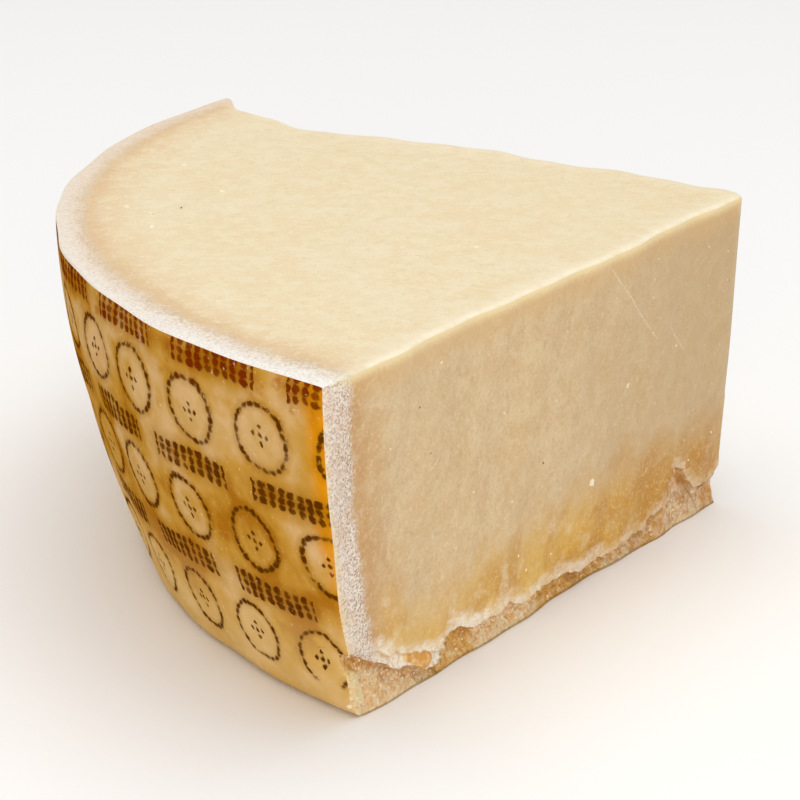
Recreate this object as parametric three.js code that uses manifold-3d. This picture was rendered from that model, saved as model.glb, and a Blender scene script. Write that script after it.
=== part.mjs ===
// A quarter of a wheel of hard aged cheese. The wheel was cut across at half its height, then
// split down through its axis, and the piece stands on the wheel's flat rind face.
// Millimetres, +Z up. The thin edge of the wedge is towards +X and the rind towards -X.
import * as THREE from "three";
import { mergeVertices } from "three/addons/utils/BufferGeometryUtils.js";
import Module from "manifold-3d";

const { degToRad, lerp, smoothstep } = THREE.MathUtils;

// The wheel: its radius at the level cut, and the side that swells and then turns in to the foot
const WHEEL_RADIUS = 210;
const CUT_HEIGHT = 104;
const FOOT_RADIUS = 186.6;
const SIDE_SWELL = 3.9;
const SIDE_POWER = 1.44;
const FOOT_EDGE_ROUND = 3.6;
const RIND_WAVES = [
  { swing: 0.35, length: 71, slant: 0.4, start: 0.5 },
  { swing: 0.25, length: 37, slant: -0.9, start: 2.1 },
];

// The wedge: the angle between its two cuts, and where the wheel's axis stands in the part's frame
const WEDGE_ANGLE = degToRad(87.8);
const AXIS_X = 105.2;
const AXIS_Y = -4.2;

// The front cut: how far its foot stands in from its top edge at the thin edge and at the rind,
// and how uneven the wire left it
const FRONT_CUT = {
  side: -1,
  leanAtEdge: 5.1,
  leanAtRind: 7,
  bend: [[0, 0]],
  flare: 0,
  waves: [
    { swing: 0.6, length: 113, slant: 0.5, start: 0.4 },
    { swing: 0.4, length: 57, slant: -0.7, start: 1.9 },
    { swing: 0.25, length: 23, slant: 0.2, start: 4.1 },
  ],
  ledge: [[0, 13], [20, 14], [26, 22], [32, 12], [60, 5], [145, 8.5], [152, 3], [192, 21]],
};

// The back cut was split by hand: it bends along its length, and the rind broke off proud of it
const BACK_CUT = {
  side: 1,
  leanAtEdge: 2.7,
  leanAtRind: 2.7,
  bend: [[0, -0.5], [8, 3.6], [30, 2.4], [88, 3], [155, -8], [191, -2.4], [210, 0]],
  flare: 12,
  waves: [
    { swing: 1.1, length: 89, slant: 1.3, start: 2.2 },
    { swing: 0.9, length: 47, slant: -0.8, start: 0.7 },
    { swing: 0.6, length: 21, slant: 0.5, start: 3.3 },
  ],
  ledge: [[0, 9], [28, 17], [40, 8], [95, 5], [120, 11], [132, 6], [192, 18]],
};
const FLARE_WIDTH = 17;
const CALM_WIDTH = 17; // the cuts' waves fade out over this much next to the thin edge

// The ragged ledge along the foot of both cuts: under it the rind of the foot was torn, not cut
const LEDGE_TEETH = [
  { swing: 0.8, length: 13, slant: 0, start: 1.2 },
  { swing: 0.6, length: 8.3, slant: 0, start: 3.9 },
];
const TORN_DEPTH = 3.6;
const TORN_AT_EDGE = 0.25; // share of that depth at the thin edge
const TORN_ROWS = [
  { height: 0, depth: 0 },
  { height: 0.5, depth: 0.7 },
  { height: 0.92, depth: 1 },
];

// How finely the surfaces are divided
const WHEEL_STEPS = 200;
const SIDE_ROWS = 18;
const ROUND_ROWS = 4;
const CUT_COLUMNS = 74;
const PLAIN_ROWS = 11;

// How far the solid that takes away the waste reaches past the wheel, and how near two corners
// of a surface lie when they are one
const CLEARANCE = 12;
const WASTE_REACH = WHEEL_RADIUS + CLEARANCE;
const MERGE_DISTANCE = 1e-3;

const wasm = await Module();
wasm.setup();

/** Height or depth at a place between knots of [place, value], eased from one knot to the next. */
function between(knots, place) {
  const next = knots.findIndex(([knot]) => knot > place);
  if (next === 0) return knots[0][1];
  if (next < 0) return knots[knots.length - 1][1];
  const [start, from] = knots[next - 1];
  const [end, to] = knots[next];
  return lerp(from, to, smoothstep(place, start, end));
}

/** Sum of waves at a place along a surface and a height. Slant leans a wave's crests over. */
function ripple(waves, along, height) {
  const phase = ({ length, slant, start }) => (2 * Math.PI * (along + slant * height)) / length + start;
  return waves.reduce((sum, wave) => sum + wave.swing * Math.sin(phase(wave)), 0);
}

/** Radius of the wheel's side at a height above the foot, with the foot's edge rounded off. */
function sideRadius(height) {
  const down = 1 - height / CUT_HEIGHT;
  const taper = (WHEEL_RADIUS - FOOT_RADIUS) * down ** SIDE_POWER;
  const missing = Math.max(0, FOOT_EDGE_ROUND - height);
  const rounding = FOOT_EDGE_ROUND - Math.sqrt(FOOT_EDGE_ROUND ** 2 - missing ** 2);
  return WHEEL_RADIUS + SIDE_SWELL * down * (1 - down) - taper - rounding;
}

/** Turns a three.js geometry into a solid that can be joined and cut. */
function toSolid(geometry) {
  geometry.deleteAttribute("normal");
  geometry.deleteAttribute("uv");
  const merged = mergeVertices(geometry, MERGE_DISTANCE);
  const corners = merged.index.array;
  const triangles = [];
  for (let i = 0; i < corners.length; i += 3) {
    const [a, b, c] = corners.slice(i, i + 3);
    if (a !== b && b !== c && c !== a) triangles.push(a, b, c);
  }
  return new wasm.Manifold(
    new wasm.Mesh({
      numProp: 3,
      vertProperties: new Float32Array(merged.attributes.position.array),
      triVerts: new Uint32Array(triangles),
    }),
  );
}

/** Turns a solid back into a three.js geometry. */
function toGeometry(solid) {
  const { vertProperties, triVerts } = solid.getMesh();
  const geometry = new THREE.BufferGeometry();
  geometry.setAttribute("position", new THREE.BufferAttribute(vertProperties, 3));
  geometry.setIndex(new THREE.BufferAttribute(triVerts, 1));
  return geometry;
}

/** The half wheel under the level cut, its side a little wavy from years on the shelf. */
function makeWheel() {
  const profile = [new THREE.Vector2(0, 0)];
  for (let row = 0; row < ROUND_ROWS; row += 1) {
    const height = FOOT_EDGE_ROUND * (1 - Math.cos((row / ROUND_ROWS) * (Math.PI / 2)));
    profile.push(new THREE.Vector2(sideRadius(height), height));
  }
  for (let row = 0; row <= SIDE_ROWS; row += 1) {
    const height = lerp(FOOT_EDGE_ROUND, CUT_HEIGHT, row / SIDE_ROWS);
    profile.push(new THREE.Vector2(sideRadius(height), height));
  }
  profile.push(new THREE.Vector2(0, CUT_HEIGHT));
  const wheel = new THREE.LatheGeometry(profile, WHEEL_STEPS);
  wheel.rotateX(Math.PI / 2);

  const point = new THREE.Vector3();
  const places = wheel.attributes.position;
  for (let i = 0; i < places.count; i += 1) {
    point.fromBufferAttribute(places, i);
    const radius = Math.hypot(point.x, point.y);
    if (radius === 0) continue;
    const around = WHEEL_RADIUS * Math.atan2(point.y, -point.x);
    const wave = (ripple(RIND_WAVES, around, point.z) * radius) / WHEEL_RADIUS;
    places.setXY(i, point.x * (1 + wave / radius), point.y * (1 + wave / radius));
  }
  return toSolid(wheel);
}

/** How far a cut's face stands out from the upright plane through the axis, above the ledge. */
function faceOffset(cut, along, height) {
  const rise = height / CUT_HEIGHT;
  const lean = (1 - rise) * lerp(cut.leanAtEdge, cut.leanAtRind, along / WHEEL_RADIUS);
  const fromRim = sideRadius(THREE.MathUtils.clamp(height, 0, CUT_HEIGHT)) - along;
  const flare = cut.flare * (1 - smoothstep(fromRim, 0, FLARE_WIDTH));
  const wave = smoothstep(along, 0, CALM_WIDTH) * ripple(cut.waves, along, height);
  return between(cut.bend, along) + flare + wave - lean;
}

/** The waste outside one cut: a block whose near face has the cut's relief. */
function makeWaste(cut) {
  const direction = Math.PI - (cut.side * WEDGE_ANGLE) / 2;
  const alongAxis = new THREE.Vector2(Math.cos(direction), Math.sin(direction));
  const outward = new THREE.Vector2(alongAxis.y, -alongAxis.x).multiplyScalar(cut.side);
  const rows = 1 + TORN_ROWS.length + 1 + PLAIN_ROWS;
  const block = new THREE.BoxGeometry(1, 1, 1, CUT_COLUMNS, rows, 1);
  const places = block.attributes.position;
  for (let i = 0; i < places.count; i += 1) {
    const column = Math.round((places.getX(i) + 0.5) * CUT_COLUMNS);
    const row = Math.round((places.getY(i) + 0.5) * rows);
    const far = places.getZ(i) > 0;
    const even = lerp(-CLEARANCE, WASTE_REACH, (column - 1) / (CUT_COLUMNS - 1));
    const along = column === 0 ? -WASTE_REACH : even;

    const ledge = between(cut.ledge, along) + ripple(LEDGE_TEETH, along, 0);
    let height = -CLEARANCE;
    let torn = 0;
    if (row > TORN_ROWS.length) {
      const upper = (row - TORN_ROWS.length - 1) / PLAIN_ROWS;
      height = lerp(ledge, CUT_HEIGHT + CLEARANCE, upper);
    } else if (row > 0) {
      height = ledge * TORN_ROWS[row - 1].height;
      torn = TORN_ROWS[row - 1].depth * TORN_DEPTH;
    }
    torn *= lerp(TORN_AT_EDGE, 1, smoothstep(along, 0, CALM_WIDTH));
    const away = far ? WASTE_REACH : faceOffset(cut, Math.max(along, 0), height) - torn;
    const across = alongAxis.clone().multiplyScalar(along).addScaledVector(outward, away);
    places.setXYZ(i, across.x, across.y, height);
  }
  // the front cut's block is a mirror image, so its corners run the other way round
  if (cut.side < 0) block.index.array.reverse();
  return toSolid(block);
}

const wedge = makeWheel().subtract(makeWaste(FRONT_CUT)).subtract(makeWaste(BACK_CUT));
const cheese = new THREE.Mesh(
  toGeometry(wedge.translate([AXIS_X, AXIS_Y, 0])),
  new THREE.MeshStandardMaterial({ color: "#dcbf8c", roughness: 0.55, metalness: 0 }),
);
cheese.name = "cheese_wedge";

const group = new THREE.Group();
group.add(cheese);

export default group;
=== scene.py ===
import math
import random
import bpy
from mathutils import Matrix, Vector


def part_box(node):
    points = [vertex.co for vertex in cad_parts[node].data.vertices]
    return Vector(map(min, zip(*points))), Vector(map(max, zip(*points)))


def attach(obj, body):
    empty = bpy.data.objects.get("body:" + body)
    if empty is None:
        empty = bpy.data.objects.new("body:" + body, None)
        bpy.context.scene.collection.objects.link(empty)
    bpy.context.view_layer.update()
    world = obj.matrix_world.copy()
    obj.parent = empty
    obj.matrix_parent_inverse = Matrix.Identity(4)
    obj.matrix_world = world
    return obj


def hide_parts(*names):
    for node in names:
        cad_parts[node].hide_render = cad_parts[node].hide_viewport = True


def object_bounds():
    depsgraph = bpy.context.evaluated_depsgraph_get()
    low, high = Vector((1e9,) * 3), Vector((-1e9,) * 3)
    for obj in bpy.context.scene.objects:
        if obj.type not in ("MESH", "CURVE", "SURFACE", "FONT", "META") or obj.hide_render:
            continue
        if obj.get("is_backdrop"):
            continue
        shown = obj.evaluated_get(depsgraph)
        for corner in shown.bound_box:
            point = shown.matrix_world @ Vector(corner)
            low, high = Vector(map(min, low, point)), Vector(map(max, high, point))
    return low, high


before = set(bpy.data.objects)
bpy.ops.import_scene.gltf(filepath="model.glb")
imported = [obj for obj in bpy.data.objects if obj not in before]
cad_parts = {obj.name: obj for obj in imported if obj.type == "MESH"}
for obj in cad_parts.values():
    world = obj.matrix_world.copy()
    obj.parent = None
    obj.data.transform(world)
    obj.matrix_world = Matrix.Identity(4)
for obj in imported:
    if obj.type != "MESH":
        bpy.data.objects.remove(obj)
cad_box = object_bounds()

from types import SimpleNamespace

import bpy
from mathutils import Matrix, Vector, noise

# The wedge
# A quarter of a wheel of hard aged cheese, halved across its height and then split down through
# its axis. It is one solid: the side is the wheel's own waxy rind, the other faces are bare
# paste, and along the foot of both cuts the rind was torn off and left a crumbly lip.

MM = 0.001
CHEESE_NODE = "cheese_wedge"
WHEEL_RADIUS = 210 * MM
CUT_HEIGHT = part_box(CHEESE_NODE)[1][2]
FOOT_RADIUS = 186.6 * MM
SIDE_SWELL = 3.9 * MM
SIDE_POWER = 1.44
FOOT_EDGE_ROUND = 3.6 * MM
RIND_WAVES = [(0.35, 71, 0.4, 0.5), (0.25, 37, -0.9, 2.1)]  # swing and length in mm, slant, start
WEDGE_ANGLE = math.radians(87.8)
AXIS = Vector((105.2 * MM, -4.2 * MM, 0))  # where the wheel's axis stands in the part's frame

# The front cut was made with a wire, and the back cut was split by hand and bends along its length.
# Run points along a cut from the wheel's axis, and out points away from the cheese. Lean is how far
# in the foot stands, and flare how far out the rind's end does. What changes along a cut is given
# as knots of (place, value), with places in mm from the axis. Bend is how far the face bows out,
# lip and shelf are the heights of its two ragged edges, and amber_top is that of its amber zone,
# all in mm. Torn is the share of TORN_DEPTH that is gone under the lip, and peach is how pale the
# paste is there. Waves are of (swing, length, slant, start). Flake, chip and bare are lines between
# two points of (place, height).
FRONT_CUT = SimpleNamespace(
    run=Vector((1, 0, 0)),
    out=Vector((0, 1, 0)),
    lean_at_edge=5.1 * MM,
    lean_at_rind=7 * MM,
    bend=[(0, 0)],
    flare=0,
    waves=[(0.6, 113, 0.5, 0.4), (0.4, 57, -0.7, 1.9), (0.25, 23, 0.2, 4.1)],
    lip=[(0, 12.5), (6, 10.8), (9.4, 9.4), (13, 11.2), (17, 12), (21, 15), (24, 20.5), (30, 23.5),
         (33.5, 14), (37, 9), (42, 9.4), (45, 6), (56, 6.8), (61, 5.5), (80, 5.2), (90, 6.6),
         (105, 7.5), (112, 6.8), (121, 9.4), (126, 8.3), (131, 9.3), (133, 8), (146, 11.5),
         (149, 10.3), (151.2, 3.1), (156, 3.1), (168, 8), (172, 9.2), (180, 15), (184, 18.1),
         (190, 21.8), (196, 23)],
    shelf=[(0, 18), (22, 23), (30.5, 28), (34, 18), (60, 12), (140, 17), (147.5, 14.5),
           (149.8, 7.6), (155, 8.1), (160, 10.2), (164, 12.1), (173, 15.1), (182, 18.9), (188, 25)],
    shelf_ends=(149.6, 184),
    torn=[(0, 0.45), (12, 0.8), (24, 0.8), (29, 0.35), (32, 0.15), (35, 0.3), (40, 0.8), (60, 1)],
    flake=((157.2, 6.6), (165.8, 12.2)),
    chip=((185.6, 6), (189.4, 14)),
    bare=((32.6, 15.5), (31.6, 20)),
    peach=[(0, 0.1), (8, 0.2), (11, 0.7), (28, 0.7), (34, 0.1), (44, 0.1), (52, 0.5), (60, 0.5),
           (72, 0.15), (98, 0.15), (106, 0.5), (112, 0.9), (130, 0.8), (137, 0.2), (150, 0.2),
           (157, 0.7), (190, 0.9)],
    amber_top=[(0, 30), (10, 31), (20, 33), (40, 30), (55, 33), (72, 31), (88, 31), (105, 30),
               (120, 29), (135, 28), (150, 23), (164, 26), (177, 33), (190, 35)],
    seed=3.7,
)
BACK_CUT = SimpleNamespace(
    run=Vector((math.cos(WEDGE_ANGLE), -math.sin(WEDGE_ANGLE), 0)),
    out=Vector((-math.sin(WEDGE_ANGLE), -math.cos(WEDGE_ANGLE), 0)),
    lean_at_edge=2.7 * MM,
    lean_at_rind=2.7 * MM,
    bend=[(0, -0.5), (3, 2.3), (8, 3.6), (30, 2.4), (88, 3), (155, -8), (191, -2.4), (210, 0)],
    flare=12 * MM,
    waves=[(1.1, 89, 1.3, 2.2), (0.9, 47, -0.8, 0.7), (0.6, 21, 0.5, 3.3)],
    lip=[(0, 12.5), (7, 9.5), (16, 10.5), (28, 17), (34, 15), (40, 8), (58, 7.4), (76, 5.4), (95, 5),
         (108, 8.2), (120, 11), (126, 10), (132, 6), (150, 8.2), (166, 10), (180, 15.5), (192, 18)],
    shelf=[(0, 18), (28, 23), (60, 14), (84, 11), (95, 10), (110, 14), (120, 16), (150, 15),
           (192, 26)],
    shelf_ends=(84, 121),
    torn=[(0, 0.45), (17, 1)],
    flake=((92, 7), (100, 8.5)),
    chip=None,
    bare=None,
    peach=[(0, 0.1), (14, 0.8), (38, 0.3), (62, 0.8), (80, 0.2), (118, 0.3), (134, 0.9), (160, 0.4),
           (190, 0.9)],
    amber_top=[(0, 34), (40, 24), (90, 20), (130, 27), (190, 30)],
    seed=8.1,
)
CUTS = (FRONT_CUT, BACK_CUT)
FLARE_WIDTH = 17 * MM
CALM_WIDTH = 17 * MM  # the cuts' waves fade out over this much next to the thin edge
TORN_DEPTH = 3.6 * MM
FOOT_INSET = 0.25  # share of that depth down at the foot
SHELF_DEPTH = 1.5 * MM
SCRAP_WIDTH = 3 * MM  # half the width of the flake and the chip that cling under the lips
CARRY = 40 * MM  # how far a cut's unevenness is carried into the faces beside it
RIM = 8 * MM  # how far the side's unevenness is carried into them
FROST_RISE = 6 * MM  # how high above the lip its crust of frost reaches

# How finely the skin is divided: rows lie closer towards the foot, and one runs along each lip
COLUMNS = 150
ROWS = 60
ROW_CROWDING = 1.35
LIP_ROW, SHELF_ROW, FINE_ROW = (CUT_HEIGHT * (row / ROWS) ** ROW_CROWDING for row in (13, 19, 28))
TOUCHING = 1e-5  # corners nearer than this are one


def ease(place, start, end):
    """Goes smoothly from 0 at start to 1 at end."""
    share = min(max((place - start) / (end - start), 0), 1)
    return share * share * (3 - 2 * share)


def between(knots, place):
    """Value in metres at a place in metres, eased from knot to knot of (place, value) in mm."""
    place /= MM
    if place <= knots[0][0]:
        return knots[0][1] * MM
    for (start, low), (end, high) in zip(knots, knots[1:]):
        if place < end:
            return (low + (high - low) * ease(place, start, end)) * MM
    return knots[-1][1] * MM


def ripple(waves, along, height):
    """Sum of waves at a place along a surface and a height. Slant leans a wave's crests over."""
    total = 0
    for swing, length, slant, start in waves:
        total += swing * math.sin(math.tau * (along + slant * height) / (length * MM) + start)
    return total * MM


def side_radius(height):
    """Radius of the wheel's side at a height above the foot, with the foot's edge rounded off."""
    down = max(0, 1 - height / CUT_HEIGHT)
    taper = (WHEEL_RADIUS - FOOT_RADIUS) * down ** SIDE_POWER
    missing = max(0, FOOT_EDGE_ROUND - height)
    rounding = FOOT_EDGE_ROUND - math.sqrt(FOOT_EDGE_ROUND ** 2 - missing ** 2)
    return WHEEL_RADIUS + SIDE_SWELL * down * (1 - down) - taper - rounding


def rough(cut, along, height, size):
    """Even noise between -1 and 1 on a cut, with lumps of about this size."""
    return noise.noise(Vector((along / size, height / size, cut.seed)))


def lip_height(cut, along):
    """Height of the ragged lip, below which the rind was torn off."""
    bites = 0.8 * rough(cut, along, 0, 5 * MM) + 0.9 * rough(cut, along, 0.1, 2.6 * MM)
    crumbs = 0.5 * rough(cut, along, 0.2, 1.4 * MM)
    ragged = (bites + crumbs) * MM * ease(along, 0, 4 * MM)
    return max(between(cut.lip, along) + ragged, 1.5 * MM)


def shelf_height(cut, along):
    """Height of the second, shallower lip above the first."""
    crumbs = 0.8 * rough(cut, along, 0.2, 3.1 * MM) + 0.5 * rough(cut, along, 0.3, 1.4 * MM)
    ragged = crumbs * MM * ease(along, 0, 4 * MM)
    return max(between(cut.shelf, along) + ragged, lip_height(cut, along) + 1.2 * MM)


def scrap(line, along, height):
    """Closeness, from 0 to 1, to a scrap that clings along a line on a cut."""
    if line is None:
        return 0
    spot = Vector((along, height))
    start, end = (Vector(tip) * MM for tip in line)
    share = min(max((spot - start).dot(end - start) / (end - start).length_squared, 0), 1)
    return max(0, 1 - (spot - start.lerp(end, share)).length / SCRAP_WIDTH)


def relief(cut, along, height):
    """How far a cut's face stands out from the upright plane through the wheel's axis."""
    rise = height / CUT_HEIGHT
    more_lean = (cut.lean_at_rind - cut.lean_at_edge) * along / WHEEL_RADIUS
    lean = (1 - rise) * (cut.lean_at_edge + more_lean)
    flare = cut.flare * (1 - ease(side_radius(height) - along, 0, FLARE_WIDTH))
    calm = ease(along, 0, CALM_WIDTH)
    face = between(cut.bend, along) + flare + calm * ripple(cut.waves, along, height) - lean

    lip = lip_height(cut, along)
    shelf = shelf_height(cut, along)
    if height < lip - TOUCHING:
        share = height / lip
        hollow = TORN_DEPTH * between(cut.torn, along) / MM * min(FOOT_INSET + share * 1.1, 1)
        lumps = 0.34 * rough(cut, along, height, 6 * MM) + 0.26 * rough(cut, along, height, 2.3 * MM)
        grains = 0.25 * MM * rough(cut, along, height, 1.1 * MM) * ease(share, 0, 0.2)
        left_on = 0.6 * ease(scrap(cut.chip, along, height), 0, 0.5)
        return face - hollow * (0.95 + lumps * ease(share, 0, 0.35)) * (1 - left_on) + grains
    on_shelf = ease(along / MM, cut.shelf_ends[0] - 1, cut.shelf_ends[0])
    on_shelf *= 1 - ease(along / MM, cut.shelf_ends[1] - 8, cut.shelf_ends[1])
    if height < shelf - TOUCHING:
        left_on = 0.75 * ease(scrap(cut.flake, along, height), 0, 0.4)
        recess = (0.55 + 0.45 * (height - lip) / (shelf - lip)) * (1 - left_on)
        face -= SHELF_DEPTH * on_shelf * recess
    frost = 1 - ease(height - lip, 1 * MM, FROST_RISE)
    return face + frost * MM * (0.4 * rough(cut, along, height, 1.5 * MM) + 0.15)


def stretched(height, straight, ragged):
    """Moves a height from between straight lines to between the ragged ones."""
    for low, high, start, end in zip(straight, straight[1:], ragged, ragged[1:]):
        if height <= high:
            return start + (end - start) * (height - low) / (high - low)
    return height


def shaped(flat):
    """Where a corner of the plain sector goes on the real wedge."""
    height = flat.z
    depths = [max(-flat.dot(cut.out), 0) for cut in CUTS]
    for cut, depth in zip(CUTS, depths):
        share = (1 - ease(depth, 0, CARRY)) * (1 - depth / max(sum(depths), TOUCHING))
        if max(depths) < TOUCHING:
            share = 0.5  # the thin edge belongs to both cuts
        if share > 0 and flat.z < FINE_ROW:
            along = max(flat.dot(cut.run), 0)
            straight = (0, LIP_ROW, SHELF_ROW, FINE_ROW)
            ragged = (0, lip_height(cut, along), shelf_height(cut, along), FINE_ROW)
            height += share * (stretched(flat.z, straight, ragged) - flat.z)
    wide = side_radius(height) / side_radius(flat.z)
    plain = Vector((flat.x * wide, flat.y * wide, height))

    place = plain
    for _ in range(3):  # each cut slides the other's skin a little, so both are found again
        moved = plain.copy()
        for cut in CUTS:
            share = 1 - ease(-flat.dot(cut.out), 0, CARRY)
            if share > 0:
                moved += cut.out * share * relief(cut, max(place.dot(cut.run), 0), height)
        place = moved

    across = math.hypot(plain.x, plain.y)
    rim = 1 - ease(side_radius(height) - across, 0, RIM)
    if rim > 0:
        around = -WHEEL_RADIUS * (WEDGE_ANGLE / 2 + math.atan2(place.y, place.x))
        wanted = across * (1 + ripple(RIND_WAVES, around, height) / WHEEL_RADIUS)
        wide = 1 + rim * (wanted / math.hypot(place.x, place.y) - 1)
        place = Vector((place.x * wide, place.y * wide, height))
    return place


def pick(mesh, kind, test):
    """Goes into edit mode with just the corners, edges or faces selected that pass a test."""
    bpy.ops.object.mode_set(mode="EDIT")
    bpy.ops.mesh.select_mode(type=kind)
    bpy.ops.mesh.select_all(action="DESELECT")
    bpy.ops.object.mode_set(mode="OBJECT")
    parts = {"VERT": mesh.vertices, "EDGE": mesh.edges, "FACE": mesh.polygons}[kind]
    for part in parts:
        part.select = bool(test(part))
    bpy.ops.object.mode_set(mode="EDIT")


def push(piece, axis, reaches):
    """Moves each corner of a piece along an axis by its own reach in metres."""
    bpy.ops.object.mode_set(mode="OBJECT")
    low = min(reaches)
    span = max(reaches) - low
    group = piece.vertex_groups.new(name="pushed")
    for index, reach in enumerate(reaches):
        group.add([index], (reach - low) / span, "REPLACE")
    displace = piece.modifiers.new("push", "DISPLACE")
    displace.direction = axis
    displace.mid_level = 0
    displace.strength = span
    displace.vertex_group = group.name
    bpy.ops.object.modifier_apply(modifier=displace.name)
    piece.vertex_groups.clear()
    # weights start at 0, so the lowest reach is added to all the corners at once
    lowest = {"X": (low, 0, 0), "Y": (0, low, 0), "Z": (0, 0, low)}[axis]
    piece.data.transform(Matrix.Translation(lowest))


# The section of the wheel is a grid that becomes the front cut. While the wedge is shaped, the
# wheel's axis is the Z axis, the front cut lies along +X and the back cut lies nearly along -Y.
bpy.ops.object.select_all(action="DESELECT")
bpy.ops.mesh.primitive_grid_add(x_subdivisions=COLUMNS, y_subdivisions=ROWS, size=1, location=(0, 0, 0))
wedge = bpy.context.object
wedge.name = "cheese_body"
mesh = wedge.data
bpy.ops.transform.resize(value=(WHEEL_RADIUS, CUT_HEIGHT, 1))
bpy.ops.transform.rotate(value=math.pi / 2, orient_axis="X", center_override=(0, 0, 0))
bpy.ops.transform.translate(value=(WHEEL_RADIUS / 2, 0, CUT_HEIGHT / 2))
bpy.ops.object.transform_apply(location=True, rotation=True, scale=True)
even_rows = [vertex.co.z / CUT_HEIGHT for vertex in mesh.vertices]
push(wedge, "Z", [CUT_HEIGHT * (abs(row) ** ROW_CROWDING - row) for row in even_rows])
swells = [side_radius(max(vertex.co.z, 0)) / WHEEL_RADIUS - 1 for vertex in mesh.vertices]
push(wedge, "X", [vertex.co.x * swell for vertex, swell in zip(mesh.vertices, swells)])


def at_side(point):
    """Says whether a point of the plain sector is on the wheel's side."""
    return math.hypot(point.x, point.y) > side_radius(max(point.z, 0)) - TOUCHING


def at_top(point):
    """Says whether a point of the plain sector is on the level cut."""
    return point.z > CUT_HEIGHT - TOUCHING


def cut_at(point):
    """The cut that a point of the plain sector is on, if any."""
    for cut in CUTS:
        if abs(point.dot(cut.out)) < TOUCHING:
            return cut
    return None


def within_top(corner):
    """Says whether a corner is on the level cut, away from its edges."""
    point = corner.co
    return at_top(point) and not at_side(point) and cut_at(point) is None


def low_on_cut(face):
    """Says whether a face is on the foot of an upright cut."""
    return face.center.z < FINE_ROW and abs(face.normal.z) < 0.5 and cut_at(face.center)


def tips(edge):
    """The two points that an edge of the wedge runs between."""
    return [mesh.vertices[corner].co for corner in edge.vertices]


# The section's outer edge is swept round the axis as the rind, and a turned copy of the section
# is the back cut. The level cut is a grid between its four sides, and the foot is one flat face.
pick(mesh, "EDGE", lambda edge: all(map(at_side, tips(edge))))
bpy.ops.mesh.spin(steps=2 * COLUMNS, angle=WEDGE_ANGLE, center=(0, 0, 0), axis=(0, 0, 1))
pick(mesh, "FACE", lambda face: abs(face.center.y) < TOUCHING)
bpy.ops.mesh.duplicate()
bpy.ops.transform.rotate(value=WEDGE_ANGLE, orient_axis="Z", center_override=(0, 0, 0))
bpy.ops.mesh.select_all(action="SELECT")
bpy.ops.mesh.remove_doubles(threshold=TOUCHING)
bpy.ops.mesh.normals_make_consistent(inside=False)
bpy.ops.mesh.select_mode(type="EDGE")
bpy.ops.mesh.select_all(action="DESELECT")
bpy.ops.mesh.select_non_manifold(extend=False)
bpy.ops.object.mode_set(mode="OBJECT")
rims = {edge.index for edge in mesh.edges if edge.select}
pick(mesh, "EDGE", lambda edge: edge.index in rims and all(map(at_top, tips(edge))))
bpy.ops.mesh.fill_grid(span=COLUMNS, offset=0)
pick(mesh, "EDGE", lambda edge: edge.index in rims and not any(map(at_top, tips(edge))))
bpy.ops.mesh.edge_face_add()
bpy.ops.mesh.select_all(action="SELECT")
bpy.ops.mesh.normals_make_consistent(inside=False)
pick(mesh, "VERT", within_top)
bpy.ops.mesh.vertices_smooth(factor=0.5, repeat=60)

# The foot of both cuts is divided again for the torn lip
pick(mesh, "FACE", low_on_cut)
bpy.ops.mesh.subdivide(number_cuts=1)
bpy.ops.object.mode_set(mode="OBJECT")

# Each face belongs to the level cut, an upright cut, the rind or the torn strip
LEVEL, UPRIGHT, RIND, TORN = range(4)
for face in mesh.polygons:
    cut = cut_at(face.center)
    if at_top(face.center):
        face.material_index = LEVEL
    elif cut is None or face.normal.z < -0.5:
        face.material_index = RIND
    else:
        face.material_index = UPRIGHT if face.center.z > LIP_ROW else TORN

flats = [vertex.co.copy() for vertex in mesh.vertices]
places = [shaped(flat) for flat in flats]
for number, axis in enumerate("XYZ"):
    push(wedge, axis, [place[number] - flat[number] for place, flat in zip(places, flats)])

# Handling has rounded the sharp edges, all but the foot's
EDGE_WEAR = 4.4 * MM
FOOT_EDGE = 1 * MM  # what is lower than this isn't worn


def edge_gap(flat):
    """Distance from a corner of the plain sector to the nearest face but its own."""
    gaps = [CUT_HEIGHT - flat.z, side_radius(flat.z) - math.hypot(flat.x, flat.y)]
    gaps += [-flat.dot(cut.out) for cut in CUTS]
    return max(sorted(gaps)[1], 0)


edges = wedge.vertex_groups.new(name="edges")
for index, flat in enumerate(flats):
    wear = 1 - edge_gap(flat) / EDGE_WEAR
    if wear > 0 and flat.z > FOOT_EDGE:
        edges.add([index], wear, "REPLACE")
smooth = wedge.modifiers.new("worn edges", "SMOOTH")
smooth.factor = 0.5
smooth.iterations = 6
smooth.vertex_group = edges.name
bpy.ops.object.modifier_apply(modifier=smooth.name)
wedge.vertex_groups.clear()

# Each corner keeps numbers that the materials read: how many mm it is above the lip, the shelf, the
# line that the frost starts from and the top of the amber zone, then shares from 0 to 1, and how
# many mm it is from the next face
RISES = ("lip_rise", "shelf_rise", "frost_rise", "amber_rise")
SHARES = ("flake", "chip", "bare", "peach")
MARKS = (*RISES, *SHARES, "edge_gap")
FAR_ABOVE = 100  # the mm that a corner gets where there is no such line


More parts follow.
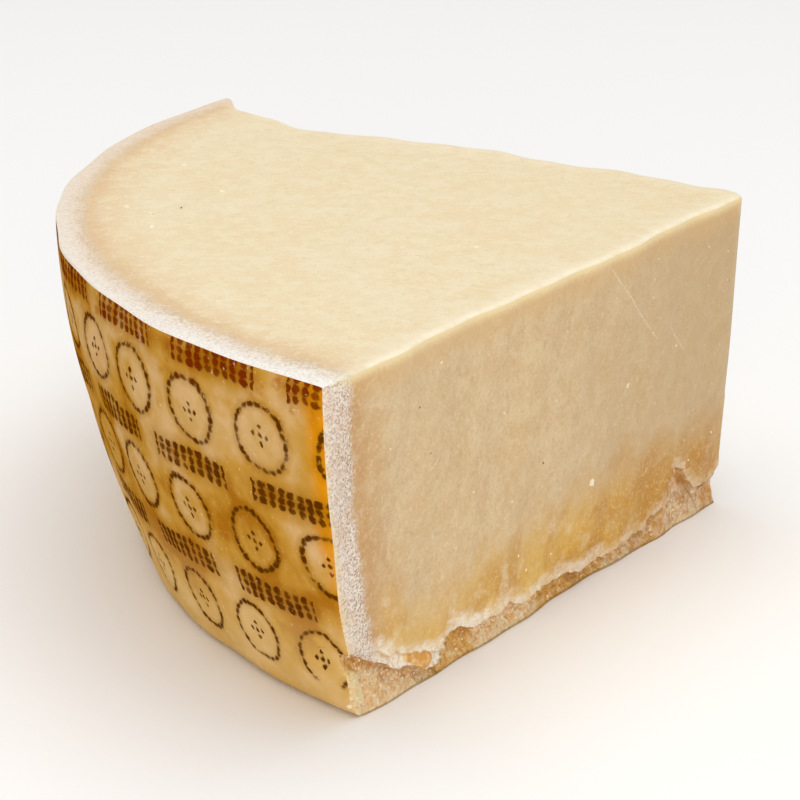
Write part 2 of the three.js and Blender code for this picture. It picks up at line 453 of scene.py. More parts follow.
def corner_marks(flat, place):
    """The numbers of a corner, in the order of MARKS."""
    cut = cut_at(flat)
    gap = edge_gap(flat) / MM
    if cut is None:
        return [FAR_ABOVE for _ in RISES] + [0 for _ in SHARES] + [gap]
    along = max(place.dot(cut.run), 0)
    shelf_rise = FAR_ABOVE
    if cut.shelf_ends[0] < along / MM < cut.shelf_ends[1]:
        shelf_rise = (place.z - shelf_height(cut, along)) / MM
    above_shelf = -TOUCHING / MM < shelf_rise < FAR_ABOVE
    return [
        (place.z - lip_height(cut, along)) / MM,
        shelf_rise,
        (place.z - between(cut.shelf if above_shelf else cut.lip, along)) / MM,
        (place.z - between(cut.amber_top, along)) / MM,
        scrap(cut.flake, along, place.z),
        scrap(cut.chip, along, place.z),
        scrap(cut.bare, along, place.z),
        between(cut.peach, along) / MM,
        gap,
    ]


corners = [corner_marks(flat, place) for flat, place in zip(flats, places)]
for name, values in zip(MARKS, zip(*corners)):
    mesh.attributes.new(name, "FLOAT", "POINT").data.foreach_set("value", values)

pick(mesh, "FACE", lambda face: True)
bpy.ops.mesh.normals_make_consistent(inside=False)
bpy.ops.mesh.faces_shade_smooth()
TURN = math.pi + WEDGE_ANGLE / 2  # from the axes that the wedge was shaped on to the part's own
bpy.ops.transform.rotate(value=-TURN, orient_axis="Z", center_override=(0, 0, 0))
bpy.ops.transform.translate(value=AXIS)
bpy.ops.object.mode_set(mode="OBJECT")

# Materials of the wedge, in which all lengths are in mm


class Signal:
    """A node's output. Arithmetic on it adds the Math nodes that work it out."""

    def __init__(self, tree, socket):
        self.tree = tree
        self.socket = socket

    def math(self, operation, *others):
        """Adds one Math node."""
        sockets = dict(enumerate((self, *others)))
        return add_node(self.tree, "ShaderNodeMath", {"operation": operation}, sockets)

    def __add__(self, other):
        return self.math("ADD", other)

    def __sub__(self, other):
        return self.math("SUBTRACT", other)

    def __mul__(self, other):
        return self.math("MULTIPLY", other)

    def __truediv__(self, other):
        return self.math("DIVIDE", other)

    def __pow__(self, other):
        return self.math("POWER", other)

    def __rsub__(self, other):
        return (self * -1).math("ADD", other)

    __radd__ = __add__
    __rmul__ = __mul__

    def part(self, name):
        """Another output of the same node."""
        return Signal(self.tree, self.socket.node.outputs[name])

    def diagonal(self, other):
        """Length of the diagonal between two distances that are square to each other."""
        return (self * self + other * other) ** 0.5

    def clip(self):
        """Keeps the value between 0 and 1."""
        return self.math("MAXIMUM", 0).math("MINIMUM", 1)

    def step(self, start, end):
        """Goes smoothly from 0 at start to 1 at end, the larger of which may come first."""
        sockets = {"Value": self, "From Min": min(start, end), "From Max": max(start, end)}
        settings = {"interpolation_type": "SMOOTHSTEP"}
        rise = add_node(self.tree, "ShaderNodeMapRange", settings, sockets)
        return rise if start < end else 1 - rise

    def wrap(self, period):
        """Distance from the nearest whole number of periods, from -period / 2 to period / 2."""
        return ((self / period + 0.5).math("FLOORED_MODULO", 1) - 0.5) * period


def add_node(tree, kind, settings=None, sockets=None):
    """Adds a node with its settings made first, then feeds its sockets values or links."""
    node = tree.nodes.new(kind)
    for name, value in (settings or {}).items():
        setattr(node, name, value)
    for name, value in (sockets or {}).items():
        if isinstance(name, int):
            socket = node.inputs[name]
        else:
            socket = next(entry for entry in node.inputs if entry.name == name and entry.enabled)
        if isinstance(value, Signal):
            tree.links.new(value.socket, socket)
        else:
            socket.default_value = value
    shown = [output for output in node.outputs if output.enabled]
    return Signal(tree, shown[0]) if shown else node


def colour(code):
    """Linear red, green, blue and alpha of a colour written as on the screen."""
    levels = [int(code[start:start + 2], 16) / 255 for start in (1, 3, 5)]
    linear = [level / 12.92 if level < 0.04045 else ((level + 0.055) / 1.055) ** 2.4 for level in levels]
    return linear + [1]


class Finish:
    """A material with one shader, and the places that its patterns start from."""

    def __init__(self, name):
        self.material = bpy.data.materials.new(name)
        self.material.use_nodes = True
        self.tree = self.material.node_tree
        self.tree.nodes.clear()
        spot = self.add("ShaderNodeTexCoord").part("Object")
        in_mm = {"Vector": spot, "Scale": 1 / MM}
        self.place = self.add("ShaderNodeVectorMath", {"operation": "SCALE"}, in_mm)
        parts = self.add("ShaderNodeSeparateXYZ", {}, {"Vector": self.place})
        east = parts.part("X") - AXIS.x / MM
        north = parts.part("Y") - AXIS.y / MM
        self.height = parts.part("Z")
        self.across = east.diagonal(north)
        self.around = north.math("ARCTAN2", east * -1) * (WHEEL_RADIUS / MM)
        self.from_front = self.around + WEDGE_ANGLE / 2 * WHEEL_RADIUS / MM

    def add(self, kind, settings=None, sockets=None):
        return add_node(self.tree, kind, settings, sockets)

    def noise(self, size, detail=2, stretch=(1, 1, 1), roughness=0.5):
        """Cloudy noise around 0.5, with lumps of this size in mm."""
        place = self.place
        if stretch != (1, 1, 1):
            place = self.add("ShaderNodeVectorMath", {"operation": "DIVIDE"}, {0: place, 1: stretch})
        sockets = {"Vector": place, "Scale": 1 / size, "Detail": detail, "Roughness": roughness}
        return self.add("ShaderNodeTexNoise", {}, sockets)

    def attribute(self, name):
        """One of the numbers that the mesh holds at its corners."""
        return self.add("ShaderNodeAttribute", {"attribute_name": name}).part("Fac")

    def mix(self, mask, low, high):
        """Colour that goes from low to high as the mask goes from 0 to 1."""
        low, high = (colour(side) if isinstance(side, str) else side for side in (low, high))
        sockets = {"Factor": mask, "A": low, "B": high}
        return self.add("ShaderNodeMix", {"data_type": "RGBA"}, sockets)

    def depth(self):
        """How deep a point is under the wheel's side, in mm."""
        down = 1 - self.height / (CUT_HEIGHT / MM)
        taper = down.math("MAXIMUM", 0) ** SIDE_POWER * ((WHEEL_RADIUS - FOOT_RADIUS) / MM)
        return down * (1 - down) * (SIDE_SWELL / MM) + WHEEL_RADIUS / MM - taper - self.across

    def close(self, base, roughness, bumps, distance, constants):
        """Adds the shader, its bumps of this many mm, and the output."""
        bump = self.add("ShaderNodeBump", {}, {"Distance": distance * MM, "Height": bumps})
        sockets = {"Base Color": base, "Roughness": roughness, "Normal": bump}
        shader = self.add("ShaderNodeBsdfPrincipled", {}, {**sockets, **constants})
        self.add("ShaderNodeOutputMaterial", {}, {"Surface": shader})
        return self.material


PASTE_SHEEN = {
    "Specular IOR Level": 0.25,
    "Subsurface Weight": 0.15,
    "Subsurface Scale": 3 * MM,
    "Subsurface Radius": (1, 1, 1),
}


class Paste(Finish):
    """Bare pressed paste, with the patterns that the level cut and the upright cuts share."""

    def __init__(self, name):
        super().__init__(name)
        self.under = self.depth()
        self.mottle = self.noise(6, 3)
        self.grain = self.noise(1.3, 4, roughness=0.75)
        self.fine = self.noise(0.8, 2)
        self.blush = self.noise(2.4, 2)
        self.flecks = self.noise(1.1, 2, roughness=0.6)
        self.pits = self.noise(0.7, 4, roughness=0.8)
        wander = self.noise(9, 2)
        self.near_rind = self.under + (wander - 0.5) * 14 + (self.noise(1.8, 2) - 0.5) * 5
        self.inward = self.under + (self.noise(1.2, 3) - 0.5) * 7 + (wander - 0.5) * 4
        self.gap = self.attribute("edge_gap") + (self.grain - 0.5) * 3
        self.dry = self.grain * 0.15 + 0.42

    def ground(self, colours, tinted, thin_edge_painted_shade, flecked):
        """Mottled paste, darker next to the rind, with painted shade towards the thin edge, and pale flecks.
        """
        body, warm, pale, tint, shade = colours
        base = self.mix(self.noise(34, 2).step(0.35, 0.65) * 0.7, body, warm)
        base = self.mix(tinted, base, tint)
        base = self.mix(self.mottle.step(0.42, 0.66) * (0.5 - tinted * 0.2), base, pale)
        base = self.mix(self.grain.step(0.5, 0.3) * 0.3, base, shade)
        base = self.mix(self.blush.step(0.55, 0.7) * 0.45, base, pale)
        base = self.mix(self.blush.step(0.42, 0.28) * 0.35, base, shade)
        base = self.mix(self.fine.step(0.5, 0.75) * 0.5, base, pale)
        base = self.mix(self.fine.step(0.5, 0.25) * 0.3, base, shade)
        # painted shade: darker towards the thin edge
        base = self.mix(self.across.step(120, 10) * thin_edge_painted_shade, base, shade)
        return self.mix(self.flecks.step(0.62, 0.74) * flecked, base, "#fbeccb")

    def dotted(self, base):
        """Adds the small pale crystals that lie all through the paste."""
        cells = self.add("ShaderNodeTexVoronoi", {}, {"Vector": self.place, "Scale": 1 / 3.4})
        chosen = self.add("ShaderNodeSeparateColor", {}, {"Color": cells.part("Color")})
        crystal = cells.step(0.2, 0.05) * chosen.step(0.91, 0.95)
        return self.mix(crystal * 0.4, base, "#fff6e2")

    def worn(self, base, rubbed_and_highlit, pale):
        """Adds pale paste along the worn edges, partly drier paste and partly a painted highlight, but not
        next to the rind.
        """
        return self.mix(rubbed_and_highlit * self.under.step(2, 9), base, pale)

    def close_paste(self, base, roughness, band, crust=0):
        """Closes the material, rougher and pitted in the band of rind."""
        bumps = self.grain * 0.2 + self.mottle * 0.35 + band * self.pits * 0.6 + crust
        return self.close(base, roughness + band * 0.2, bumps, 0.5, PASTE_SHEEN)


def level_cut():
    """The level cut, the palest of the paste."""
    finish = Paste("level cut")
    colours = ("#f1deb8", "#efdab0", "#f7e9c8", "#e8c89c", "#e2c894")
    base = finish.ground(colours, finish.near_rind.step(30, 8) * 0.85, 0.1, 0.5)
    base = finish.dotted(base)

    # the rind in section: a dry, whitish band full of tiny pits, which fades towards the back
    inward = finish.inward * (1 + finish.from_front * 0.0011)
    band = inward.step(13, 9) * (1 - finish.from_front * 0.0009)
    band = band * (finish.pits.step(0.4, 0.5) * 0.5 + inward.step(12, 5)).clip()
    backward = ((finish.from_front - 31) * 0.004).clip()
    whites = finish.mix(inward.step(3, 10), "#fffcf4", "#fbead2")
    whites = finish.mix(backward * 0.55, whites, "#e6cdb2")
    pitted = finish.pits.step(0.54, 0.42) * (inward.step(1, 7) * 0.3 + 0.4)
    whites = finish.mix(pitted, whites, "#dcb79a")
    inner_line = inward.step(9, 11) * inward.step(18, 12)
    base = finish.mix(inner_line * 0.45, base, "#dcb584")
    base = finish.mix(band, base, whites)

    # the worn edges: pale, partly drier paste and partly a painted highlight along the rounded edge
    rub_and_highlight_noise = finish.noise(5, 3)
    rubbed_and_highlit = (finish.gap + (rub_and_highlight_noise - 0.5) * 12).step(9, 0) * 0.3
    rubbed_and_highlit = rubbed_and_highlit + finish.gap.step(3.4, 0) * rub_and_highlight_noise.step(0.3, 0.62) * 0.45
    base = finish.worn(base, rubbed_and_highlit, "#fdf4dc")
    return finish.close_paste(base, finish.dry, band)


# Faint scratches on the front cut, each between two points of (place, height)
SCRATCHES = [
    ((47, 70.3), (77, 99.5)),
    ((30, 62), (38, 71)),
    ((58, 60.2), (62.2, 56.1)),
    ((157.6, 67.5), (161.8, 65.2)),
    ((124.9, 66), (126.6, 72.4)),
]


def scratched(finish, base):
    """Adds the scratches to the front cut's paste."""
    run = Matrix.Rotation(TURN, 3, "Z") @ FRONT_CUT.run
    along = finish.add("ShaderNodeVectorMath", {"operation": "DOT_PRODUCT"}, {0: finish.place, 1: run})
    along = along - AXIS.dot(run) / MM
    on_front = finish.from_front.step(38, 23)
    for (start, low), (end, high) in SCRATCHES:
        slope = (high - low) / (end - start)
        off_line = (finish.height - low - (along - start) * slope) / (1 + slope * slope) ** 0.5
        ends = along.step(start - 2, start + 2) * along.step(end + 2, end - 2)
        line = (off_line.math("ABSOLUTE") + finish.mottle * 0.5).step(0.75, 0.2)
        base = finish.mix(line * ends * on_front * finish.fine.step(0.35, 0.6) * 0.5, base, "#faeccb")
    return base


def upright_cut():
    """An upright cut, which an amber zone and a dry frost run along above its ragged lips."""
    finish = Paste("upright cut")
    height, across, grain, fine = finish.height, finish.across, finish.grain, finish.fine
    colours = ("#dabc8f", "#d7b584", "#e4cca2", "#cc9b62", "#bf9f72")
    base = finish.ground(colours, finish.near_rind.step(32, 9), 0.5, 0.3)

    # the amber zone: mottled and streaked, deepest by the thin edge, with paler paste blooming in it
    streaks = finish.noise(4, 3, stretch=(1, 1, 2.2))
    patches = finish.noise(13, 3)
    veins = finish.noise(3.2, 4, stretch=(1, 1, 1.4), roughness=0.65)
    reach = finish.attribute("amber_rise") + (streaks - 0.5) * 9
    reach = reach + (finish.mottle - 0.5) * 6 + (patches - 0.5) * 20
    amber = reach.step(10, -12) * finish.under.step(11, 20)
    ambers = finish.mix(patches.step(0.62, 0.36), "#dfad40", "#c88c1c")
    ambers = finish.mix(across.step(100, 20) * 0.85, ambers, "#bd7f0a")
    ambers = finish.mix(across.step(90, 155) * 0.32, ambers, "#eac684")
    ambers = finish.mix(veins.step(0.5, 0.7) * 0.35, ambers, "#e6c070")
    ambers = finish.mix(veins.step(0.46, 0.3) * 0.3, ambers, "#b97a24")
    base = finish.mix(amber * (streaks.step(0.3, 0.68) * 0.2 + 0.8), base, ambers)
    base = finish.mix(amber * grain.step(0.52, 0.66) * 0.4, base, "#eed69e")
    base = finish.mix(amber * finish.flecks.step(0.58, 0.7) * 0.3, base, "#ecd09a")
    bloom = finish.noise(7, 3).step(0.5, 0.7) * reach.step(-34, -20) * reach.step(4, -6)
    bloom = bloom * (across.step(40, 140) * 0.75 + 0.25)
    base = finish.mix(bloom * (fine.step(0.35, 0.6) * 0.35 + 0.35), base, "#ecd8b0")
    base = finish.mix(height.step(92, 102) * 0.5, base, "#e0b478")

    # a crust of dry frost above the lips
    smears = finish.noise(2.6, 4, stretch=(2.2, 2.2, 0.8), roughness=0.6)
    rise = finish.attribute("frost_rise") + across.step(110, 20) * 1.8 + across.step(150, 172) * 1.8
    rise = rise + (smears - 0.5) * 9 + (patches - 0.5) * 8
    frost = rise.step(6.5, 1) * (fine.step(0.3, 0.5) * 0.4 + 0.6) * (grain.step(0.36, 0.5) * 0.35 + 0.65)
    frost = frost * (across.step(20, 150) * 0.45 + 0.55) * (veins.step(0.7, 0.45) * 0.5 + 0.5)
    frost = frost * finish.attribute("bare").step(0.6, 0.1)
    base = finish.mix(frost * 0.97, base, "#fff1dc")
    base = scratched(finish, base)

    # between the two lips: dry grains, with an amber flake left in the middle, and painted shade just under
    # the upper lip
    shelf = finish.attribute("shelf_rise") + (grain - 0.5) * 1.5
    below = shelf.step(0.3, -0.3)
    flake = finish.attribute("flake").step(0.05, 0.3)
    flakes = finish.mix(finish.blush.step(0.4, 0.65), "#e0a048", "#f2cb8e")
    base = finish.mix(below * 0.9, base, finish.mix(grain.step(0.4, 0.54), "#ecd0a6", "#fff5e6"))
    base = finish.mix(below * flake, base, flakes)
    # painted shade in the recess just under the upper lip
    base = finish.mix(shelf.step(-1.4, -0.4) * below * 0.5, base, "#c8924a")
    base = finish.dotted(base)

    # the rind in section: dry and whitish, with darker pits, most of them along its inner side
    inward = finish.inward
    band = inward.step(12.2, 8.6)
    whites = finish.mix(finish.noise(8, 2).step(0.4, 0.65), "#fdf1e2", "#f7e3cc")
    whites = finish.mix(finish.blush.step(0.42, 0.62) * height.step(10, 60) * 0.5, whites, "#eccdb8")
    pitted = finish.pits.step(0.52, 0.43) * (inward.step(2, 8.5) * 0.25 + 0.55)
    whites = finish.mix(pitted, whites, "#a17a5c")
    whites = finish.mix(inward.step(1.6, 0.4) * 0.5, whites, "#f3d795")
    base = finish.mix(band, base, whites)

    # the worn top edge: pale, partly drier paste and partly a painted highlight
    rubbed_and_highlit = finish.gap.step(4.5, 0.5) * (height.step(97.5, 103.2) * 0.6 + 0.1)
    base = finish.worn(base, rubbed_and_highlit, "#f9e6b4")
    roughness = finish.dry - amber * 0.12 + frost * 0.2
    return finish.close_paste(base, roughness, band, frost * grain * 0.4)


# Pricked in the rind: rows of dotted rings, and between them rows of dotted strokes in groups
ROW_GAP = 33
RING_GAP = 29
RING_RADIUS = 9.2
RING_DOTS = 20
RING_SHIFT = 11  # how far each row is shifted along from the one below
CROSS_REACH = 3.2
GROUP_GAP = 1.5 * RING_GAP
GROUP_SHIFT = 17
STROKES = 9
STROKE_GAP = 3.5
STROKE_REACH = 3.7
DOT_GAP = 2.5
LOWEST_RINGS = 18  # their height above the foot
HIDDEN = 5  # added to a distance where there are no dots


def ring_marks(up, along):
    """Distances from the middle of a ring, from its nearest dot, and from its cross of dots."""
    ring_up = (up - LOWEST_RINGS).wrap(ROW_GAP)
    row = ((up - LOWEST_RINGS + ROW_GAP / 2) / ROW_GAP).math("FLOOR")
    ring_along = (along + row * RING_SHIFT).wrap(RING_GAP)
    from_centre = ring_up.diagonal(ring_along)
    round_way = ring_up.math("ARCTAN2", ring_along) * (RING_DOTS / math.tau)
    pitch = math.tau * RING_RADIUS / RING_DOTS
    # half the distance along the ring draws each dot out that way
    ring = (from_centre - RING_RADIUS).diagonal(round_way.wrap(1) * pitch * 0.5)
    cross = ring_up.wrap(DOT_GAP).diagonal(ring_along.wrap(DOT_GAP))
    reach = ring_up.math("ABSOLUTE") + ring_along.math("ABSOLUTE")
    return from_centre, ring, cross + reach.step(CROSS_REACH, CROSS_REACH + 0.7) * HIDDEN


def stroke_marks(up, along):
    """Distances from the middle of a row of strokes, past its groups' ends, and from its dots."""
    stroke_up = (up - LOWEST_RINGS - ROW_GAP / 2).wrap(ROW_GAP)
    row = ((up - LOWEST_RINGS) / ROW_GAP).math("FLOOR")
    in_group = (along + row * GROUP_SHIFT).wrap(GROUP_GAP)
    past_ends = in_group.math("ABSOLUTE") - STROKES * STROKE_GAP / 2
    off_row = stroke_up.math("ABSOLUTE")
    dots = (in_group - STROKE_GAP / 2).wrap(STROKE_GAP).diagonal(stroke_up.wrap(DOT_GAP))
    outside = off_row.step(STROKE_REACH, STROKE_REACH + 0.2) + past_ends.step(0, 0.2)
    return off_row, past_ends, dots + outside * HIDDEN


def rind_skin():
    """The waxed side of the wheel with its pricked marks, stained amber."""
    finish = Finish("waxed rind")
    shaky = (finish.noise(1.8, 3) - 0.5) * 1.5
    up = finish.height + (finish.noise(14, 1) - 0.5) * 3 + shaky
    along = finish.around + (finish.noise(17, 1) - 0.5) * 4 - shaky
    from_centre, ring, cross = ring_marks(up, along)
    off_row, past_ends, stroke = stroke_marks(up, along)

    # the dots are of many sizes, and the wax round them is browned. The foot has none.
    fade = finish.noise(5, 2)
    size = fade * 1.3 + 0.05
    nearest = ring.math("MINIMUM", cross).math("MINIMUM", stroke - 0.5)
    marked = (finish.height + (finish.noise(26, 1) - 0.5) * 16).step(7, 9)
    dots = (nearest - size + (finish.noise(0.9, 2) - 0.5) * 0.9).step(0.4, -0.35) * marked
    halo = ring.step(3, 0.6) * marked
    by_strokes = (off_row - 2 + (fade - 0.5) * 7).step(6, -2) * marked
    by_strokes = by_strokes * (past_ends + (fade - 0.5) * 12).step(6, -4)

    # gold soaks in between the rings and round the marks, and deep orange along the cut edges
    blotch = finish.noise(22, 3)
    spots = finish.noise(5, 3)
    to_front = finish.from_front
    corner = (to_front + (blotch - 0.5) * 10).step(9, 3) * finish.height.step(25, 60)
    corner = corner.math("MAXIMUM", (to_front + (spots - 0.5) * 6).step(4, 1) * 0.8)
    upper = (finish.height + (spots - 0.5) * 8).step(90, 101)
    outside = from_centre.step(RING_RADIUS - 2.5, RING_RADIUS + 3)
    soak = outside * 0.35 + (blotch - 0.53) * 3.4 + (spots - 0.5) * 0.7 + halo * 0.3 + by_strokes * 0.5
    soak = soak + upper * 0.25 - to_front.step(70, 190) * 0.4
    soak = soak + finish.height.step(72, 40) * finish.height.step(6, 24) * 0.3
    base = finish.mix(finish.noise(9, 3).step(0.35, 0.65), "#dbb27a", "#cfa25c")
    base = finish.mix(soak.step(-0.1, 0.6) * 0.9, base, "#c6902e")
    base = finish.mix(soak.step(0.45, 1.05) * 0.9, base, "#ab6a0c")
    base = finish.mix(corner * 0.95, base, "#e08f08")
    stained = spots.step(0.52, 0.68) * (upper + by_strokes * 0.4)
    base = finish.mix(stained.clip() * 0.6, base, "#a25206")
    base = finish.mix(by_strokes * (spots.step(0.35, 0.6) * 0.4 + 0.35), base, "#9c5c06")
    base = finish.mix(halo * 0.3, base, "#a0660c")
    # painted light: the side is made lighter low down, where it curves in towards the foot and turns from
    # the light
    base = finish.mix(finish.height.step(42, 10) * 0.33, base, "#ffdc94")
    curled = (to_front + (spots - 0.5) * 9 + (fade - 0.5) * 5).step(3, 0.8) * finish.height.step(60, 20)
    base = finish.mix(curled * 0.8, base, "#7a4406")
    browns = finish.mix(upper, "#5e3000", "#7a2a00")
    base = finish.mix(dots * (fade.step(0.3, 0.6) * 0.2 + 0.8), base, browns)

    # thin whitish scuffs and painted glints on the wax
    scuffs_and_glints = finish.noise(1.2, 3)
    base = finish.mix(scuffs_and_glints.step(0.66, 0.74) * 0.4, base, "#f6e2b4")
    bumps = finish.noise(9, 2) * 0.8 + scuffs_and_glints * 0.25 - dots * 0.5
    roughness = scuffs_and_glints * 0.3 + 0.22 + dots * 0.1
    return finish.close(base, roughness, bumps, 0.6, {"Specular IOR Level": 0})


def torn_paste():
    """Paste laid open where the foot's rind was torn off: amber, granular and full of crumbs."""
    finish = Finish("torn paste")
    lumps = finish.noise(4, 3)
    grain = finish.noise(1.3, 4, roughness=0.7)
    rise = finish.attribute("lip_rise")
    peach = finish.attribute("peach") + (lumps - 0.5) * 1.2 - finish.height.step(11, 16) * 0.9
    peach = peach.step(0.2, 0.7)
    base = finish.mix(grain.step(0.35, 0.65), "#e2a54a", "#f2c47a")
    base = finish.mix(peach, base, finish.mix(lumps.step(0.4, 0.6), "#f3c182", "#fadba6"))
    duller = finish.mix(finish.noise(3, 3).step(0.4, 0.6), "#c48c4a", "#e8c6a6")
    base = finish.mix(finish.across.step(70, 40) * 0.6, base, duller)
    base = finish.mix(grain.step(0.5, 0.62) * (peach * 0.6 + 0.2), base, "#fff0d4")
    # darker where the grain's bumps sink: partly brown grains, partly painted shade in the crevices
    base = finish.mix(grain.step(0.47, 0.36) * 0.5, base, "#c08038")
    near_rind = finish.depth().step(30, 4) * (rise + (grain - 0.5) * 6).step(-6, -1)
    # painted shadow under the overhanging lip
    painted_shadow_under_lip = (rise + (lumps - 0.5) * 5 + (grain - 0.5) * 2).step(-3.5, -0.6)
    base = finish.mix(painted_shadow_under_lip * (0.7 - peach * 0.3) * finish.height.step(22, 12), base, "#b57a2e")
    base = finish.mix(near_rind * (grain.step(0.56, 0.46) * 0.6 + 0.2), base, "#a8683a")

    # pale low down, with a painted shadow line where it meets the table
    low_down = (finish.height + (lumps - 0.5) * 3).step(3.2, 1.2)
    base = finish.mix(low_down * peach * 0.5, base, "#fadcaa")
    base = finish.mix((finish.height + (grain - 0.5)).step(0.8, 0.4) * 0.6, base, "#98702c")
    base = finish.mix(finish.attribute("chip").step(0.2, 0.65) * 0.8, base, "#f6dfa8")
    return finish.close(base, 0.5 + grain * 0.2, grain * 1.2 + lumps * 0.6, 0.8, PASTE_SHEEN)


for material in (level_cut(), upright_cut(), rind_skin(), torn_paste()):  # LEVEL to TORN
    mesh.materials.append(material)
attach(wedge, "root")
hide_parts(CHEESE_NODE)

# The crystals
# Hard white grains that grow in the paste as it ages. The wire and the split left the largest of
# them standing out of the level cut and of both upright cuts.

CRYSTAL_SEED = 11
# On the front cut, each is the place along it and the height in mm, and how large it is
FRONT_CRYSTALS = [
    (78.5, 33.6, 1.3), (121.5, 42.4, 0.5), (159.1, 95.1, 0.5), (126.9, 70.7, 0.5), (60.2, 58.5, 0.8),
    (180.7, 77.7, 0.4), (34, 64, 0.35), (141, 52, 0.35), (96, 76, 0.35), (49.2, 95.7, 0.35),
    (19.1, 91.9, 0.4), (7.2, 87.6, 0.35), (6.1, 77.9, 0.35), (116, 23.6, 0.5), (111.2, 17.1, 0.7),
    (97.6, 17.2, 0.5), (21.3, 22.2, 0.6), (8.4, 27.6, 0.4),
]
# On the level cut, each is x and y in mm from the wheel's axis, and how large it is
TOP_CRYSTALS = [
    (-166.5, 63.8, 1.0), (-157.7, 31.3, 0.9), (-181.5, 9.9, 1.0), (-187.8, 18.6, 0.7), (-182, -3.8, 0.8),
    (-187.1, -33.9, 0.9), (-170.2, -76, 0.8), (-92, -40, 0.5), (-120, 12, 0.5), (-140, -58, 0.5),
]
BACK_CRYSTALS = 14
# How many mm across a crystal of size 1 is on each cut, and how deep its middle lies
FRONT_BULK, FRONT_SUNK = 2.2, 0.4
TOP_BULK, TOP_SUNK = 2.6, 0.55
BACK_BULK, BACK_SUNK = 2, 0.5


def on_cut(cut, along, height, sunk):
    """The place in the part's frame of a spot that is sunk so deep in a cut, all given in mm."""
    spot = cut.run * along * MM + cut.out * (relief(cut, along * MM, height * MM) - sunk * MM)
    spot.z = height * MM
    return Matrix.Rotation(TURN, 3, "Z") @ spot + AXIS


def on_top(x, y, sunk):
    """The place of a spot that is sunk so deep in the level cut, in mm from the wheel's axis."""
    return AXIS + Vector((x * MM, y * MM, CUT_HEIGHT - sunk * MM))


def make_grain(seed, roundness):
    """A rough little lump, 1 m across, to be copied smaller."""
    bpy.ops.object.select_all(action="DESELECT")
    bpy.ops.mesh.primitive_ico_sphere_add(subdivisions=1, radius=0.5, location=(0, 0, 0))
    bpy.ops.object.mode_set(mode="EDIT")
    bpy.ops.mesh.select_all(action="SELECT")
    bpy.ops.transform.vertex_random(offset=0.5 - roundness / 2, seed=seed)
    bpy.ops.object.mode_set(mode="OBJECT")
    return bpy.context.object


def strew(name, grain, spots, draw):
    """Copies a grain to each spot of (place, size in mm), turned at random, as one piece."""
    copies = []
    for place, size in spots:
        copy = grain.copy()
        copy.data = grain.data.copy()
        bpy.context.collection.objects.link(copy)
        copy.location = place
        copy.rotation_euler = [draw.uniform(0, math.tau) for _ in range(3)]
        copy.scale = [size * MM * draw.uniform(0.75, 1.25) for _ in range(3)]
        copies.append(copy)
    bpy.data.objects.remove(grain)
    bpy.ops.object.select_all(action="DESELECT")
    for copy in copies:
        copy.select_set(True)
    bpy.context.view_layer.objects.active = copies[0]
    bpy.ops.object.join()
    bpy.ops.object.transform_apply(location=True, rotation=True, scale=True)
    piece = bpy.context.object
    piece.name = name
    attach(piece, "root")
    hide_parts(CHEESE_NODE)
    return piece


def grain_finish(name, body, shade):
    """A dry grain, mottled and matt."""
    finish = Finish(name)
    spots = finish.noise(0.8, 3)
    base = finish.mix(spots.step(0.35, 0.65), body, shade)
    return finish.close(base, 0.6, spots, 0.3, {"Specular IOR Level": 0.3})


draw = random.Random(CRYSTAL_SEED)
spots = []
for along, height, size in FRONT_CRYSTALS:
    spots.append((on_cut(FRONT_CUT, along, height, FRONT_SUNK * size), FRONT_BULK * size))
for x, y, size in TOP_CRYSTALS:
    spots.append((on_top(x, y, TOP_SUNK * size), TOP_BULK * size))
for _ in range(BACK_CRYSTALS):
    size = draw.uniform(0.5, 1.1)
    place = on_cut(BACK_CUT, draw.uniform(20, 185), draw.uniform(28, 98), BACK_SUNK * size)
    spots.append((place, BACK_BULK * size))
crystals = strew("crystals", make_grain(CRYSTAL_SEED, 0.6), spots, draw)
crystals.data.materials.append(grain_finish("crystal", "#faf0da", "#f2e0bc"))

# The dark specks
# A few brown grains that the cuts went through. They lie nearly flush with the front cut, and one
# of them with the level cut.

# Given as the crystals are, but how large each is is in mm
SPECKS = [(168.1, 85.2, 0.7), (162.1, 70.3, 0.6), (22.2, 38.4, 0.7), (106, 49.1, 1.1)]
TOP_SPECK = (-171.8, 14.7, 0.8)

spots = [(on_cut(FRONT_CUT, along, height, 0.2 * size), size) for along, height, size in SPECKS]
spots.append((on_top(*TOP_SPECK[:2], 0), TOP_SPECK[2]))
specks = strew("dark_specks", make_grain(CRYSTAL_SEED, 0.6), spots, draw)
specks.data.materials.append(grain_finish("dark speck", "#8a6038", "#6e4826"))

# The crumbs
# Where the foot's rind was torn off, loose grains of paste still cling to the strip that it left,
# under the lip of both upright cuts.

CRUMB_SEED = 23
FRONT_CRUMBS = 150  # of each kind
BACK_CRUMBS = 110


def crumb_spots(cut, count, sizes, draw):
    """Random spots on the torn strip of a cut, most of them high up under the lip.

    Sizes holds the smallest, the largest and the usual size in mm.
    """
    spots = []
    while len(spots) < count:
        along = draw.uniform(6, 190)
        lip = lip_height(cut, along * MM) / MM
        height = lip * draw.uniform(0.1, 1) ** 0.7
        size = draw.triangular(*sizes)
        wanted = between(cut.peach, along * MM) / MM * ease(along, 10, 70)
        if size < height < lip - size / 2 and draw.random() < wanted:
            spots.append((on_cut(cut, along, height, 0.15 * size), size))
    return spots


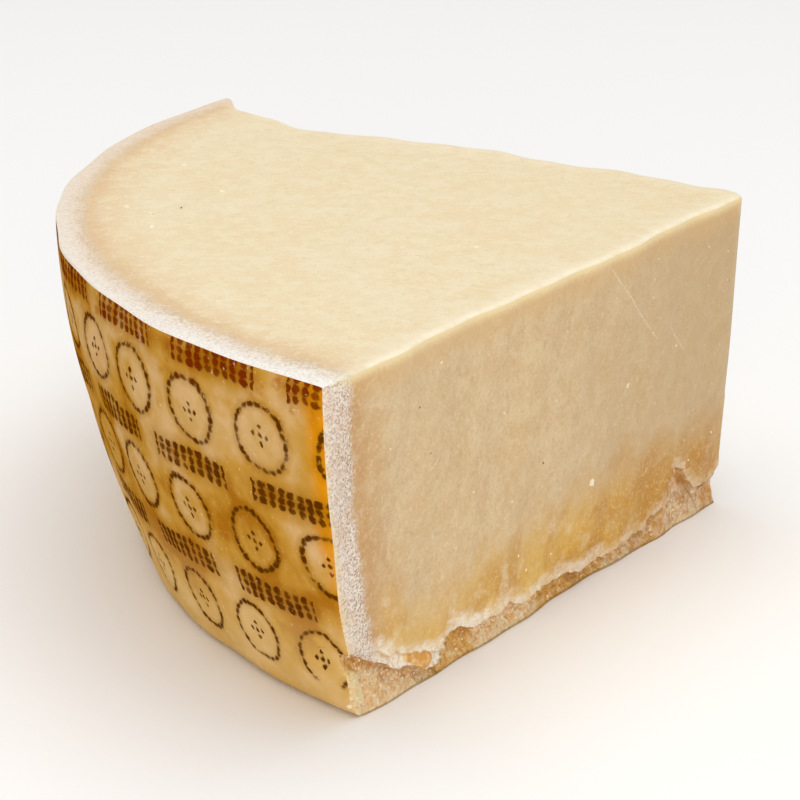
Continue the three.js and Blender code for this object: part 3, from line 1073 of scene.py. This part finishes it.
draw = random.Random(CRUMB_SEED)
for name, sizes, body, shade in (
    ("pale_crumbs", (0.4, 1.3, 0.6), "#ffedce", "#fbdcae"),
    ("amber_crumbs", (0.4, 1.5, 0.7), "#f8d8a8", "#efc78e"),
):
    spots = crumb_spots(FRONT_CUT, FRONT_CRUMBS, sizes, draw)
    spots += crumb_spots(BACK_CUT, BACK_CRUMBS, sizes, draw)
    crumbs = strew(name, make_grain(CRUMB_SEED, 0.45), spots, draw)
    crumbs.data.materials.append(grain_finish(name.replace("_", " "), body, shade))

# The floor, the light and the camera
# A pale table under one wide soft lamp, with a weaker one in front. The camera looks a little
# down on the wedge, with the corner of the rind and the front cut nearest.

FLOOR_WIDTH = 8
bpy.ops.object.select_all(action="DESELECT")
bpy.ops.mesh.primitive_plane_add(size=FLOOR_WIDTH, location=(0, 0, 0))
floor = bpy.context.object
floor.name = "floor"
finish = Finish("pale table")
base = finish.mix(finish.noise(300, 2), "#fbfaf8", "#fdfcfa")
floor.data.materials.append(finish.close(base, 0.8, finish.noise(3, 2), 0.02, {}))
floor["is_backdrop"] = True


def soft_lamp(name, place, aim, width, power):
    """A square soft box that faces its aim."""
    lamp = bpy.data.lights.new(name, "AREA")
    lamp.shape = "SQUARE"
    lamp.size = width
    lamp.energy = power
    holder = bpy.data.objects.new(name, lamp)
    bpy.context.collection.objects.link(holder)
    holder.location = place
    holder.rotation_euler = (Vector(aim) - Vector(place)).to_track_quat("-Z", "Y").to_euler()


soft_lamp("overhead", (0, 0, 2.8), (0, 0, 0.05), 3.2, 64)
soft_lamp("front", (-0.3, -2.3, 0.6), (0, 0, 0.05), 1.1, 17)

world = bpy.data.worlds.new("studio")
bpy.context.scene.world = world
world.use_nodes = True
studio = world.node_tree.nodes["Background"].inputs
studio["Color"].default_value = (1, 1, 1, 1)
studio["Strength"].default_value = 0.38

CAMERA_PLACE = (-0.1236, -0.7095, 0.3127)
CAMERA_FALL = 0.3598  # how far it looks down from level, in radians
CAMERA_TURN = -0.1705  # how far it is turned about the upright, in radians
camera = bpy.data.cameras.new("camera")
camera.sensor_width = 36
camera.lens = 111.4
viewer = bpy.data.objects.new("camera", camera)
bpy.context.collection.objects.link(viewer)
viewer.location = CAMERA_PLACE
viewer.rotation_euler = (math.pi / 2 - CAMERA_FALL, 0, CAMERA_TURN)
bpy.context.scene.camera = viewer
bpy.context.scene.view_settings.view_transform = "Standard"

sizes = {"cad": [list(corner) for corner in cad_box], "visual": [list(corner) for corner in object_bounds()]}
